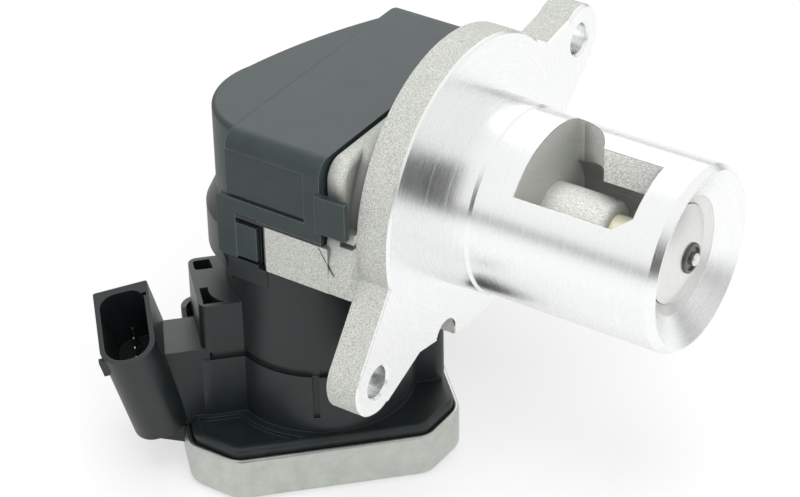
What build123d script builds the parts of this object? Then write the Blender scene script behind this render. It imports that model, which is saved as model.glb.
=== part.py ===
from build123d import *
import os
from math import acos, atan2, cos, degrees, hypot, pi, radians, sin, sqrt, tan

# Motor driven exhaust gas recirculation valve, millimetres.
# Origin: where the axis of the nose crosses the front face of the mounting flange.
# +X runs out along the nose, +Z up along the motor axis, +Y away from the cover's front face.

# Mounting flange and its two ears (plane positions are y, z)
flange_r = 41.0
flange_t = 9.3
bolt_hole_r = 4.2
bolt_chamfer = 0.6
lower_bolt = (-46.6, -32.8)
upper_bolt = (50.7, 18.7)
lower_ear_r = 9.2
upper_ear_r = 9.5
lower_arm_out = 3.5
upper_arm_out = (2.3, 7.8)
notch_centre = (-15.2, -37.0)
notch_r = 4.6

# Nose that enters the engine's port
nose_r = 24.5
nose_len = 64.4
nose_lead = 2.0
pilot_r = 25.1
pilot_len = 12.0
shoulder_r = 25.4
shoulder_len = 5.5
mouth_r = 22.8
chamber_r = 15.0
chamber_start = 22.5
window_low_y = -19.4
window_high_y = -1.5
window_back_y = 11.6
window_back_x = 37.5
window_floor = 3.0
window_corner = 4.5
window_web = 1.6

# Valve seat, disc and stem
disc_r = 13.2
disc_inset = 6.2
disc_t = 1.2
disc_spigot = 4.0
spigot_wall = 1.2
dome_h = 3.1
seat_w = 1.6
seat_wall = 2.3
seat_len = 2.4
seat_gap = 0.12
stem_r = 3.0
stem_neck_r = 1.7
stem_out = 1.2
washer_r = 4.0
washer_t = 0.9
washer_sink_r = 3.1
washer_sink = 0.5
guide_boss_r = 8.3
guide_boss_end = 40.3
guide_bush_r = 4.9
guide_bush_out = 5.7
guide_bush_len = 22.0
rear_bush_r = 5.0
rear_bush_len = 7.0
seal_r = 6.5
seal_t = 3.5
saddle_r = 8.2
saddle_x = -20.4
run_gap = 0.05
lift = 5.5
crosshead_half = 5.0
crosshead_low = 4.5
crosshead_high = 3.2
crosshead_len = 7.0
crosshead_back = 3.2

# Cast cradle behind the flange, which carries the drive
cradle_x = -35.0
cradle_front = -44.1
cradle_back = 35.2
cradle_low = -13.2
cradle_top = 0.0
cradle_step = 2.3
collar_x = -17.0
collar_top = 4.8
collar_r = 44.1
collar_drop = 10.0
waist_r = 39.4
fin_x1 = -12.6
fin_front = -41.6
fin_top = 23.2
fin_round = 5.2
fin_nose = 2.0
nick_x = -13.2
nick_z = (1.1, 2.5)
nick_depth = 1.4
cast_gap = 0.2

# Motor axis, gear axes and teeth
motor_x = -36.5
motor_y = -19.0
output_x = -40.0
output_y = 0.0
output_travel = 80.0
fine_module = 0.6
coarse_module = 0.8
pinion_teeth = 12
idler_big_teeth = 34
idler_small_teeth = 11
output_teeth = 32
addendum = 0.85
dedendum = 1.2
backlash = 0.10
pressure_angle = 20.0
cam_low = 4.5
cam_t = 3.5
gear_t = 4.5
gear_gap = 0.8
big_gear_t = 3.5
pinion_t = 4.6
cam_r = 16.8
cam_track_r = 7.9
follower_r = 2.0
cam_floor = 0.6
sector_low = -96.0
sector_high = 16.0
sector_hub_r = 11.0
output_shaft_r = 2.5
output_bush_r = 3.6
output_hub_r = 3.4
idler_axle_r = 1.5
motor_shaft_r = 1.6
spring_wire = 1.1
spring_coil_r = 4.7
spring_pitch = 1.3
spring_turns = 3
spring_leg_len = 9.5

# Gear cover, plastic
cover_wall = 2.2
band_x0 = -47.0
band_x1 = -17.8
band_top = 24.0
band_round = 4.5
lobe_top = 22.4
lobe_round = 1.4
lobe_x = -43.0
lobe_y = -18.4
lobe_r = 21.0
lobe_far_y = 30.5
panel_x1 = -22.8
panel_low = 6.4
panel_depth = 0.5
slit_h = 0.9
tongue_x0 = -44.1
tongue_x1 = -38.0
tongue_low = -12.2
tongue_gap = 1.8
tongue_lift = 0.6
tongue_t = 1.5
tab_x1 = -10.2
tab_low = 4.2
tab_high = 14.8
tab_t = 1.8
gasket_t = 0.8

# Motor housing, plastic
barrel_r = 24.7
barrel_top = -13.4
barrel_low = -62.0
skirt_out = 2.85
skirt_low = -29.0
lead_low = -7.0
lead_high = -1.0
shoulder_low = -22.0
shoulder_in = 3.6
step_high = -42.0
step_low = -44.5
step_depth = 1.2
tower_out = 33.4
tower_front = 10.3
tower_back = 12.8
tower_top = -27.5
tower_corner = 2.5
tower_wall = 1.3
tower_pocket = 14.0
web_q0 = -1.4
web_q1 = 7.1
sill_out = 2.8
sill_back = 1.4
sill_corner = 5.0
lip_t = 1.2
lip_top = -40.2
deck_round = 1.5
deck_sink = 1.0
deck_rim = 2.4
boss_out = 31.6
boss_half = 8.0
boss_top = -40.0
slot_w = 1.8
slot_depth = 0.9
slot_angle = -59.5
slot_low = -57.5
bearing_boss_r = 12.7
bearing_r = 5.0
bearing_len = 5.0
foot_bearing_r = 4.0

# Metal cap that closes the motor from below (diagonal frame)
cap_p0 = -78.5
cap_p1 = -6.0
cap_half = 28.8
cap_cut = 10.4
cap_drop = 2.5
cap_h = 13.5
cap_wall = 1.4
cap_floor = 1.5
cap_round = 3.0
cap_corner = 5.0
plug_depth = 4.0

# Connector shroud: mouth centre, its long direction and its pull direction
plug_centre = (-68.0, -62.0, -31.0)
plug_dir = (0.0, -0.33, 0.944)
plug_long = (0.658, -0.712, -0.245)
plug_l = 25.6
plug_w = 14.6
plug_h = 33.0
plug_wall = 1.3
plug_back_wall = 2.0
plug_front_wall = 0.9
plug_depth_in = 19.0
plug_front_r = 5.8
plug_back_r = 0.6
mouth_back_r = 4.2
key_w = 1.2
key_deep = 4.0
key_place = -8.4
catch_w = 1.6
catch_out = 0.8
catch_place = 10.6
catch_low = 6.6
catch_high = 1.2
neck_top = -41.0
neck_back = 18.0
foot_low = -70.0
pin_count = 5
pin_pitch = 3.3
pin_w = 1.5
pin_t = 0.8
pin_len = 9.0
pin_root = 4.0

# Motor inside the housing
can_r = 20.5
can_wall = 1.5
can_top = -16.2
can_low = -73.5
magnet_t = 4.8
air_gap = 0.6
core_high = -24.0
core_low = -60.0
commutator_r = 7.0
commutator_high = -63.0
commutator_low = -70.0

# Position sensor under the cover's roof
board_x = (4.5, 10.0)
board_y = (9.0, 7.0)

cap_high = barrel_low - cap_drop
cap_low = cap_high - cap_h
root2 = sqrt(2.0)
ways = ((1, -1), (1, 1), (-1, 1), (-1, -1))
motor_p = (motor_x + motor_y) / root2
motor_q = (motor_y - motor_x) / root2


def x_cylinder(radius, x_from, x_to):
    """A round bar along the nose axis."""
    place = Plane((x_from, 0, 0), x_dir=(0, 1, 0), z_dir=(1, 0, 0))
    return extrude(place * Circle(radius), amount=x_to - x_from)


def z_cylinder(radius, x, y, z_from, z_to):
    """An upright round bar."""
    return extrude(Pos(x, y, z_from) * Circle(radius), amount=z_to - z_from)


def block(x, y, z):
    """A box from its three (low, high) pairs."""
    size = [pair[1] - pair[0] for pair in (x, y, z)]
    return Pos(x[0], y[0], z[0]) * Box(*size, align=(Align.MIN, Align.MIN, Align.MIN))


def diagonal(z):
    """The level plane turned 45 degrees that the cap and the tower follow."""
    return Plane((0, 0, z), x_dir=(1, 1, 0), z_dir=(0, 0, 1))


def diagonal_block(p, q, z):
    """A box in the diagonal frame from its three (low, high) pairs."""
    face = diagonal(z[0]) * Pos((p[0] + p[1]) / 2, (q[0] + q[1]) / 2) * Rectangle(
        p[1] - p[0], q[1] - q[0])
    return extrude(face, amount=z[1] - z[0])


def revolve_x(points):
    """A turned piece from its (x, radius) outline."""
    outline = make_face(Polyline(*[(x, 0, r) for x, r in points], close=True))
    return revolve(outline, axis=Axis.X)


def involute(angle):
    return tan(angle) - angle


def gear_face(teeth, module, phase):
    """Flat gear with involute flanks; one tooth is centred on the phase angle, in degrees."""
    pitch_r = teeth * module / 2
    base_r = pitch_r * cos(radians(pressure_angle))
    tip_r = pitch_r + addendum * module
    root_r = pitch_r - dedendum * module
    half = (pi * module / 2 - backlash) / (2 * pitch_r) + involute(radians(pressure_angle))
    flank = []
    for radius in (root_r, pitch_r, tip_r):
        turn = acos(min(1.0, base_r / radius))
        flank.append((radius, half - involute(turn)))
    points = []
    for tooth in range(teeth):
        centre = radians(phase) + 2 * pi * tooth / teeth
        for radius, angle in flank:
            points.append((radius * cos(centre - angle), radius * sin(centre - angle)))
        for radius, angle in reversed(flank):
            points.append((radius * cos(centre + angle), radius * sin(centre + angle)))
    return make_face(Polyline(*points, close=True))


def meshed_phase(line_angle, phase, teeth, other_teeth):
    """Phase of a gear so that its gap meets a tooth of the first gear on the line of centres."""
    return line_angle + 180 - (phase - line_angle) * teeth / other_teeth + 180 / other_teeth


# Gear axes: the idler stands where both centre distances are met
mesh_one = (pinion_teeth + idler_big_teeth) * fine_module / 2
mesh_two = (idler_small_teeth + output_teeth) * coarse_module / 2
span_x = output_x - motor_x
span_y = output_y - motor_y
span = hypot(span_x, span_y)
along = (mesh_one ** 2 - mesh_two ** 2 + span ** 2) / (2 * span)
aside = sqrt(mesh_one ** 2 - along ** 2)
idler_x = motor_x + (along * span_x - aside * span_y) / span
idler_y = motor_y + (along * span_y + aside * span_x) / span
angle_one = degrees(atan2(idler_y - motor_y, idler_x - motor_x))
angle_two = degrees(atan2(output_y - idler_y, output_x - idler_x))
pinion_phase = angle_one
big_phase = meshed_phase(angle_one, pinion_phase, pinion_teeth, idler_big_teeth)
small_phase = angle_two
output_phase = meshed_phase(angle_two, small_phase, idler_small_teeth, output_teeth)
gear_low = cam_low + cam_t
gear_high = gear_low + gear_t
big_low = gear_high + gear_gap
big_high = big_low + big_gear_t
spring_low = gear_high + 0.7
spring_top = spring_low + spring_turns * spring_pitch + spring_wire
follower_x = output_x + cam_track_r
crosshead_x0 = follower_x - crosshead_back
crosshead_x1 = crosshead_x0 + crosshead_len

# Places along the nose, counted back from its end
disc_face = nose_len - disc_inset
port_r = disc_r - seat_w
seat_ring_r = disc_r + seat_wall
seat_ring_start = disc_face - seat_len
window_end = seat_ring_start - window_web
chamber_end = window_end - 1.2
mouth_slope = disc_inset / (mouth_r - disc_r)
ring_front = disc_face + seat_wall * mouth_slope
disc_back = disc_face - disc_spigot
dome_top = disc_face + dome_h
washer_top = dome_top + washer_t
guide_bush_end = guide_boss_end + guide_bush_out


def lobe_face():
    """Plan of the round back of the gear cover."""
    turn = radians(160)
    start = (band_x0, lobe_far_y)
    meet = (lobe_x + lobe_r * cos(turn), lobe_y + lobe_r * sin(turn))
    bulge = ((start[0] + meet[0]) / 2 - 2.2, (start[1] + meet[1]) / 2 - 0.9)
    low = radians(215)
    middle = (lobe_x + lobe_r * cos(low), lobe_y + lobe_r * sin(low))
    drop = sqrt(lobe_r ** 2 - (band_x0 - lobe_x) ** 2)
    end = (band_x0, lobe_y - drop)
    shape = [ThreePointArc(start, bulge, meet), ThreePointArc(meet, middle, end), Line(end, start)]
    return make_face(shape)


def band_face():
    """Plan of the straight band of the gear cover."""
    middle = ((band_x0 + band_x1) / 2, (cradle_front + cradle_back) / 2)
    return Pos(*middle) * Rectangle(band_x1 - band_x0, cradle_back - cradle_front)


def on_rim(turn, out):
    """Point at the given angle on the flange's rim, or outside it."""
    return ((flange_r + out) * cos(radians(turn)), (flange_r + out) * sin(radians(turn)))


def on_ear(bolt, radius, turn):
    """Point at the given angle on the round of an ear."""
    return (bolt[0] + radius * cos(radians(turn)), bolt[1] + radius * sin(radians(turn)))


def flange_plate():
    """Round flange with two ears, each round chamfered at the front."""
    lower = [on_rim(192.1, 0), on_ear(lower_bolt, lower_ear_r, 151.7), lower_bolt,
             on_ear(lower_bolt, lower_ear_r, 296.0), on_rim(231.7, lower_arm_out), on_rim(242.0, 0)]
    upper = [on_rim(46.0, 0), on_rim(35.2, upper_arm_out[0]), on_ear(upper_bolt, upper_ear_r, 124.7),
             upper_bolt, on_ear(upper_bolt, upper_ear_r, -45.9), on_rim(5.4, upper_arm_out[1]),
             on_rim(-4.2, 0)]
    rear = Plane((-flange_t, 0, 0), x_dir=(0, 1, 0), z_dir=(1, 0, 0))
    notch = Pos(*notch_centre) * Circle(notch_r)
    notch += Pos(notch_centre[0], notch_centre[1] - flange_r / 2) * Rectangle(2 * notch_r, flange_r)
    plate = Part()
    for (y, z), radius in (((0, 0), flange_r), (lower_bolt, lower_ear_r), (upper_bolt, upper_ear_r)):
        disc = Pos(0, y, z) * x_cylinder(radius, -flange_t, 0)
        plate += chamfer(disc.edges().filter_by(GeomType.CIRCLE).sort_by(Axis.X)[-1], bolt_chamfer)
    for arm in (lower, upper):
        plate += extrude(rear * make_face(Polyline(*arm, close=True)), amount=flange_t)
    return plate - extrude(rear * notch, amount=flange_t)


def valve_body():
    """Cast flange, nose, guide boss and cradle in one piece."""
    body = flange_plate()
    nose = revolve_x([(-flange_t, 0), (-flange_t, shoulder_r - 3), (0, shoulder_r),
                      (shoulder_len, shoulder_r), (shoulder_len, pilot_r), (pilot_len, pilot_r),
                      (pilot_len + 0.8, nose_r),
                      (nose_len - nose_lead, nose_r), (nose_len, mouth_r + 0.4), (nose_len, mouth_r),
                      (ring_front, seat_ring_r), (seat_ring_start, seat_ring_r), (seat_ring_start, port_r),
                      (chamber_end + 1.0, port_r), (chamber_end - 1.0, chamber_r),
                      (chamber_start, chamber_r), (chamber_start, 0)])
    body += nose
    window = make_face([
        Line((chamber_start, window_low_y), (window_end - window_corner, window_low_y)),
        Line((window_end - window_corner, window_low_y), (window_end, window_low_y + window_corner * 0.6)),
        Line((window_end, window_low_y + window_corner * 0.6), (window_end, window_high_y)),
        Line((window_end, window_high_y), (window_back_x, window_high_y)),
        ThreePointArc((window_back_x, window_high_y),
                      ((window_back_x + chamber_start) / 2 + 2.0, (window_high_y + window_back_y) / 2 + 1.6),
                      (chamber_start + 2.0, window_back_y)),
        Line((chamber_start + 2.0, window_back_y), (chamber_start, window_back_y)),
        Line((chamber_start, window_back_y), (chamber_start, window_low_y))])
    body -= extrude(Pos(0, 0, window_floor) * window, amount=nose_r + 2)
    boss = x_cylinder(guide_boss_r, chamber_start - 1, guide_boss_end)
    tip = boss.edges().filter_by(GeomType.CIRCLE).sort_by(Axis.X)[-1]
    body += fillet(tip, 1.6)

    collar = Pos(0, -collar_drop) * Circle(collar_r)
    collar &= Pos(0, (cradle_low + collar_top) / 2) * Rectangle(3 * collar_r, collar_top - cradle_low)
    middle = (cradle_low + fin_top) / 2
    height = fin_top - cradle_low
    waist = Circle(waist_r) & Pos(0, middle) * Rectangle(3 * waist_r, height)
    waist = fillet(waist.vertices().group_by(Axis.Y)[-1], fin_round)
    fin = Pos((fin_front + cradle_back) / 2, middle) * Rectangle(cradle_back - fin_front, height)
    fin = fillet(fin.vertices().group_by(Axis.Y)[-1], fin_round)
    side = Plane((collar_x, 0, 0), x_dir=(0, 1, 0), z_dir=(1, 0, 0))
    body += extrude(side * (collar + waist), amount=-flange_t - collar_x)
    fin = extrude(side * fin, amount=fin_x1 - collar_x)
    body += fillet(fin.edges().group_by(Axis.X)[-1].sort_by(Axis.Z)[1:], fin_nose)
    nick_y = nick_depth - sqrt(collar_r ** 2 - (nick_z[1] + collar_drop) ** 2)
    body -= block((nick_x, -flange_t), (-collar_r, nick_y), nick_z)
    cradle = block((cradle_x, collar_x + 1), (cradle_front, cradle_back), (cradle_low, cradle_top))
    body += cradle
    step_x = cradle_x - cradle_step
    step_back = cradle_front + 2 * cradle_step
    step = make_face(Polyline((step_x, cradle_front + cradle_step), (cradle_x, cradle_front),
                              (cradle_x, step_back), (step_x, step_back), close=True))
    step = Pos(0, 0, cradle_low) * step
    body += extrude(step, amount=cradle_top - cradle_low)
    body -= z_cylinder(bearing_boss_r + cast_gap, motor_x, motor_y, cradle_low, cradle_top)
    saddle = x_cylinder(saddle_r, saddle_x, collar_x)
    body += saddle & block((saddle_x, collar_x), (-saddle_r, saddle_r), (cradle_top - 1, saddle_r))
    channel = crosshead_half + 0.3
    body -= block((cradle_x, saddle_x), (-channel, channel), (-crosshead_low - 0.4, cradle_top))
    body -= block((cradle_x, collar_x - 2.0), (13.0, cradle_back - 6.0), (cradle_low + 4.0, cradle_top))

    body -= x_cylinder(stem_r + 0.5, saddle_x, guide_boss_end)
    body -= x_cylinder(rear_bush_r, -rear_bush_len, 0)
    body -= x_cylinder(seal_r, saddle_x, saddle_x + seal_t)
    body -= x_cylinder(guide_bush_r, guide_bush_end - guide_bush_len, guide_boss_end)
    for y, z in (lower_bolt, upper_bolt):
        hole = Plane((-flange_t, y, z), x_dir=(0, 1, 0), z_dir=(1, 0, 0))
        body -= extrude(hole * Circle(bolt_hole_r), amount=flange_t)
        bevel = Cone(bolt_hole_r, bolt_hole_r + bolt_chamfer, bolt_chamfer,
                     align=(Align.CENTER, Align.CENTER, Align.MIN))
        body -= Plane((-bolt_chamfer, y, z), x_dir=(0, 1, 0), z_dir=(1, 0, 0)) * bevel
    return body


def guide_bush():
    bush = x_cylinder(guide_bush_r, guide_bush_end - guide_bush_len, guide_bush_end)
    tip = bush.edges().filter_by(GeomType.CIRCLE).sort_by(Axis.X)[-1]
    return chamfer(tip, 0.5) - x_cylinder(stem_r + run_gap, 0, nose_len)


def rear_bush():
    return x_cylinder(rear_bush_r, -rear_bush_len, 0) - x_cylinder(stem_r + run_gap, -nose_len, nose_len)


def stem_seal():
    return x_cylinder(seal_r, saddle_x, saddle_x + seal_t) - x_cylinder(stem_r + 0.1, -nose_len, 0)


def seat_ring():
    return revolve_x([(seat_ring_start, port_r), (disc_face - seat_w - 0.1, port_r),
                      (disc_face, disc_r + 0.15), (ring_front, seat_ring_r),
                      (seat_ring_start, seat_ring_r)])


def valve_stem():
    stem = x_cylinder(stem_r, crosshead_x0 + 1.0, disc_back)
    stem += x_cylinder(stem_neck_r, disc_back, washer_top + stem_out)
    tip = stem.edges().filter_by(GeomType.CIRCLE).sort_by(Axis.X)[-1]
    return chamfer(tip, 0.4)


def valve_disc():
    """Domed disc with a conical edge that meets the seat."""
    edge_r = disc_r - seat_gap - 0.2
    hub_r = washer_r + 0.1
    points = [(dome_top, hub_r), (dome_top, stem_neck_r), (disc_back, stem_neck_r),
              (disc_back, stem_r + spigot_wall), (disc_face - seat_w - disc_t, port_r - 1.4),
              (disc_face - seat_w - seat_gap + 0.3, port_r - seat_gap - 0.1),
              (disc_face - 0.4, edge_r - 0.05), (disc_face, edge_r)]
    back = Polyline(*[(x, 0, r) for x, r in points])
    swell = (disc_face + 0.6 * dome_h, 0, (edge_r + hub_r) / 2)
    dome = ThreePointArc((disc_face, 0, edge_r), swell, (dome_top, 0, hub_r))
    return revolve(make_face([back, dome]), axis=Axis.X)


def disc_washer():
    """Dished washer under the riveted end of the stem."""
    ring = x_cylinder(washer_r, dome_top, washer_top)
    tip = ring.edges().filter_by(GeomType.CIRCLE).sort_by(Axis.X)[-1]
    ring = chamfer(tip, 0.25) - x_cylinder(washer_sink_r, washer_top - washer_sink, washer_top)
    return ring - x_cylinder(stem_neck_r, dome_top, washer_top)


def crosshead():
    slider = block((crosshead_x0, crosshead_x1), (-crosshead_half, crosshead_half),
                   (-crosshead_low, crosshead_high))
    slider = chamfer(slider.edges().filter_by(Axis.Z), 1.0)
    slider -= x_cylinder(stem_r, crosshead_x0 + 1.0, crosshead_x1)
    return slider - z_cylinder(follower_r, follower_x, 0, stem_r, crosshead_high)


def follower_pin():
    return z_cylinder(follower_r, follower_x, 0, stem_r, gear_low - cam_floor - 0.3)


def cam_slot():
    """Spiral slot: the follower moves in proportion to the turn of the gear."""
    centre = []
    steps = 10
    over = 3.0
    for i in range(steps + 1):
        turn = radians(-over + (output_travel + 2 * over) * i / steps)
        radius = cam_track_r + lift * turn / radians(output_travel)
        centre.append((radius, turn))
    rate = lift / radians(output_travel)
    sides = ([], [])
    for radius, turn in centre:
        lean = atan2(rate, radius)
        for side, sign in zip(sides, (1, -1)):
            half = sign * (follower_r + run_gap)
            x = radius * cos(turn) + half * cos(turn - lean)
            y = -(radius * sin(turn) + half * sin(turn - lean))
            side.append((x, y))
    outer, inner = sides
    ends = []
    for i in (0, -1):
        radius, turn = centre[i]
        reach = follower_r + run_gap
        push = turn + (-pi / 2 if i == 0 else pi / 2) - atan2(rate, radius)
        ends.append((radius * cos(turn) + reach * cos(push), -(radius * sin(turn) + reach * sin(push))))
    return make_face([Spline(*outer), ThreePointArc(outer[-1], ends[1], inner[-1]), Spline(*inner),
                      ThreePointArc(inner[0], ends[0], outer[0])])


def output_gear():
    """Toothed wheel with the cam plate under it."""
    place = Pos(output_x, output_y, 0)
    wheel = extrude(Pos(0, 0, gear_low) * gear_face(output_teeth, coarse_module, output_phase),
                    amount=gear_t)
    turns = [radians(angle) for angle in (sector_low, (sector_low + sector_high) / 2, sector_high)]
    rim = [(cam_r * cos(turn), cam_r * sin(turn)) for turn in turns]
    sector = make_face([Line((0, 0), rim[0]), ThreePointArc(*rim), Line(rim[2], (0, 0))])
    plate = extrude(Pos(0, 0, cam_low) * (sector + Circle(sector_hub_r)), amount=cam_t)
    plate -= extrude(Pos(0, 0, cam_low) * cam_slot(), amount=cam_t - cam_floor)
    hub = z_cylinder(output_hub_r, 0, 0, gear_high, spring_top + 0.4)
    return place * (wheel + plate + hub - z_cylinder(output_shaft_r, 0, 0, 0, gear_high))


def output_shaft():
    return z_cylinder(output_shaft_r, output_x, output_y, -7.5, gear_high)


def output_bush():
    bush = z_cylinder(output_bush_r, output_x, output_y, -8.0, 0.0)
    bush += z_cylinder(output_bush_r + 0.8, output_x, output_y, 0.0, 1.2)
    return bush - z_cylinder(output_shaft_r + run_gap, output_x, output_y, -9, 2)


def return_spring():
    """Torsion spring round the output hub, with one leg held by the cover."""
    start = (spring_coil_r, 0, 0)
    coil = Helix(spring_pitch, spring_turns * spring_pitch, spring_coil_r)
    wire = Plane(start, x_dir=(1, 0, 0), z_dir=(0, 1, 0)) * RegularPolygon(spring_wire / 2, 6)
    body = sweep(wire, path=coil, is_frenet=True)
    level = spring_low + spring_wire / 2
    return Pos(output_x, output_y, level) * body + spring_leg(0.0)


def spring_leg(gap):
    """Straight end of the spring, which the cover's rib holds."""
    half = spring_wire / 2 + gap
    x = output_x + spring_coil_r
    top = spring_top + gap
    return block((x - half, x + half), (output_y, output_y + spring_leg_len + gap),
                 (top - 2 * half, top))


def idler_gear():
    wheel = extrude(Pos(0, 0, big_low) * gear_face(idler_big_teeth, fine_module, big_phase),
                    amount=big_gear_t)
    wheel -= Pos(0, 0, big_high) * Cylinder(7.8, 1.6) - Pos(0, 0, big_high) * Cylinder(4.2, 1.6)
    small = extrude(Pos(0, 0, gear_low) * gear_face(idler_small_teeth, coarse_module, small_phase),
                    amount=big_low - gear_low)
    foot = z_cylinder(idler_axle_r + 1.3, 0, 0, 0.6, gear_low)
    bore = z_cylinder(idler_axle_r + run_gap, 0, 0, 0, big_high)
    return Pos(idler_x, idler_y, 0) * (wheel + small + foot - bore)


def idler_axle():
    return z_cylinder(idler_axle_r, idler_x, idler_y, -7.0, lobe_top - cover_wall - 0.3)


def motor_pinion():
    low = big_low - 0.4
    face = gear_face(pinion_teeth, fine_module, pinion_phase)
    gear = extrude(Pos(motor_x, motor_y, low) * face, amount=pinion_t)
    return gear - z_cylinder(motor_shaft_r, motor_x, motor_y, low, low + pinion_t)


def rotor_shaft():
    high = big_low - 0.4 + pinion_t + 0.6
    return z_cylinder(motor_shaft_r, motor_x, motor_y, can_low - 1.5, high)


def rotor_core():
    """Slotted armature."""
    radius = can_r - can_wall - magnet_t - air_gap
    core = Circle(radius)
    for i in range(8):
        turn = radians(45 * i)
        core -= Pos((radius - 2.4) * cos(turn), (radius - 2.4) * sin(turn)) * Circle(1.7)
        mouth = Pos((radius - 0.6) * cos(turn), (radius - 0.6) * sin(turn)) * Rot(0, 0, 45 * i)
        core -= mouth * Rectangle(2.4, 1.2)
    core -= Circle(motor_shaft_r)
    return extrude(Pos(motor_x, motor_y, core_low) * core, amount=core_high - core_low)


def commutator():
    ring = z_cylinder(commutator_r, motor_x, motor_y, commutator_low, commutator_high)
    return ring - z_cylinder(motor_shaft_r, motor_x, motor_y, commutator_low, commutator_high)


def motor_can():
    can = z_cylinder(can_r, motor_x, motor_y, can_low, can_top)
    can -= z_cylinder(can_r - can_wall, motor_x, motor_y, can_low, can_top - can_wall)
    return can - z_cylinder(bearing_r, motor_x, motor_y, can_low, can_top)


def motor_magnets():
    """Two curved magnets on the wall of the can."""
    outer = can_r - can_wall
    ring = Circle(outer) - Circle(outer - magnet_t)
    ring -= Rectangle(3 * outer, 9.0)
    return extrude(Pos(motor_x, motor_y, core_low - 1) * ring, amount=core_high - core_low + 2)


def motor_bearings():
    """Bush above the armature and bush below it."""
    high = z_cylinder(bearing_r, motor_x, motor_y, can_top - can_wall, can_top + bearing_len)
    low = z_cylinder(foot_bearing_r, motor_x, motor_y, can_low - 1.0, can_low + 2.0)
    bore = z_cylinder(motor_shaft_r + run_gap, motor_x, motor_y, can_low - 2, can_top + 6)
    return Compound(children=[high - bore, low - bore])


def brush_plate():
    """Plate that closes the can and holds the two brushes."""
    plate = z_cylinder(can_r - can_wall, motor_x, motor_y, can_low, can_low + 2.0)
    plate -= z_cylinder(foot_bearing_r, motor_x, motor_y, can_low - 1, can_low + 3)
    for side in (-1, 1):
        near = commutator_r + 0.4
        x = sorted((motor_x + side * near, motor_x + side * (near + 8.0)))
        plate += block(x, (motor_y - 2.6, motor_y + 2.6), (can_low + 2.0, commutator_high - 1.0))
    return plate


def gear_cover():
    """Plastic lid over the gears: a straight band with a lower round lobe behind it."""
    low = cradle_top + gasket_t
    band = extrude(Pos(0, 0, low) * band_face(), amount=band_top - low)
    upper = band.edges().group_by(Axis.Z)[-1]
    ends = upper.filter_by(Axis.X)
    band = fillet(ends, band_round)
    band = fillet(band.edges().filter_by(Axis.Z).sort_by(Axis.X)[:2], 1.5)
    lobe = extrude(Pos(0, 0, low) * lobe_face(), amount=lobe_top - low)
    rim = lobe.edges().group_by(Axis.Z)[-1].filter_by(GeomType.LINE, reverse=True)
    lobe = fillet(rim, lobe_round)
    lid = band + lobe
    hollow = extrude(Pos(0, 0, low) * offset(band_face(), -cover_wall), amount=band_top - cover_wall - low)
    hollow = fillet(hollow.edges().group_by(Axis.Z)[-1].filter_by(Axis.X), band_round - cover_wall)
    inner = offset(lobe_face(), -cover_wall) + Pos(band_x0, (lobe_far_y - 40) / 2) * Rectangle(
        3 * cover_wall, lobe_far_y + 22)
    hollow += extrude(Pos(0, 0, low) * inner, amount=lobe_top - cover_wall - low)
    lid -= hollow
    post = z_cylinder(idler_axle_r + 1.8, idler_x, idler_y, big_high + 0.5, lobe_top - cover_wall)
    lid += post - z_cylinder(idler_axle_r, idler_x, idler_y, big_high, lobe_top - cover_wall - 0.3)
    rib_x = output_x + spring_coil_r
    leg_end = output_y + spring_leg_len
    rib = block((rib_x - 1.6, rib_x + 1.6), (leg_end - 2.0, leg_end + 1.5),
                (spring_top - spring_wire - 1.0, band_top - cover_wall))
    lid += rib - spring_leg(0.1)
    lid -= x_cylinder(saddle_r + cast_gap, saddle_x - cast_gap, band_x1)

    front = cradle_front
    lid -= block((band_x0, panel_x1), (front, front + panel_depth), (panel_low, band_top - band_round))
    lid -= block((band_x0, panel_x1), (front, front + 1.3), (panel_low - slit_h, panel_low))
    column = block((band_x0 - skirt_out, tongue_x0), (front, front + tongue_t),
                   (tongue_low, panel_low - slit_h))
    outside = column.edges().filter_by(Axis.Y).sort_by(Axis.X)[:2]
    column = fillet(outside, 1.2)
    tongue = block((tongue_x0 - 0.2, tongue_x1), (front + 0.3, front + tongue_t),
                   (tongue_low + tongue_lift, low - tongue_gap - gasket_t))
    lid += column + tongue
    lid -= block((tongue_x0, tongue_x1 + 0.5), (front, front + 1.4), (low - 0.9, low + 0.3))
    lid += block((band_x1 - 1.5, tab_x1), (front - 0.5, front - 0.5 + tab_t), (tab_low, tab_high))
    return lid


def cover_gasket():
    ring = band_face() + lobe_face()
    inner = offset(band_face(), -cover_wall) + offset(lobe_face(), -cover_wall)
    inner += Pos(band_x0, (lobe_far_y - 40) / 2) * Rectangle(3 * cover_wall, lobe_far_y + 22)
    seal = extrude(Pos(0, 0, cradle_top) * (ring - inner), amount=gasket_t)
    seal -= x_cylinder(saddle_r + cast_gap, saddle_x - cast_gap, band_x1)
    return seal - block((band_x0, tongue_x0), (cradle_front, cradle_front + tongue_t), (0, gasket_t))


def base_outline(inset):
    """Plan of the cap, a rectangle with cut corners, at the given inset."""
    half_p = (cap_p1 - cap_p0) / 2 - inset
    half_q = cap_half - inset
    cut = cap_cut - inset * (2 - root2)
    points = []
    for a, b in ways:
        first = (a * half_p, b * (half_q - cut))
        second = (a * (half_p - cut), b * half_q)
        points += [second, first] if a * b < 0 else [first, second]
    face = make_face(Polyline(*points, close=True))
    face = fillet(face.vertices(), cap_corner)
    return Pos((cap_p0 + cap_p1) / 2, motor_q) * face


def tower_face(out, back, corner, inset):
    """Plan of the lead tower: grown to the left and the back, then shrunk all round."""
    left = motor_p - tower_out - out + inset
    near = motor_q - tower_front + inset
    far = motor_q + tower_back + back - inset
    face = Pos((left + motor_p) / 2, (near + far) / 2) * Rectangle(motor_p - left, far - near)
    return fillet(face.vertices().sort_by(Axis.X)[:2], corner)


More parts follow.
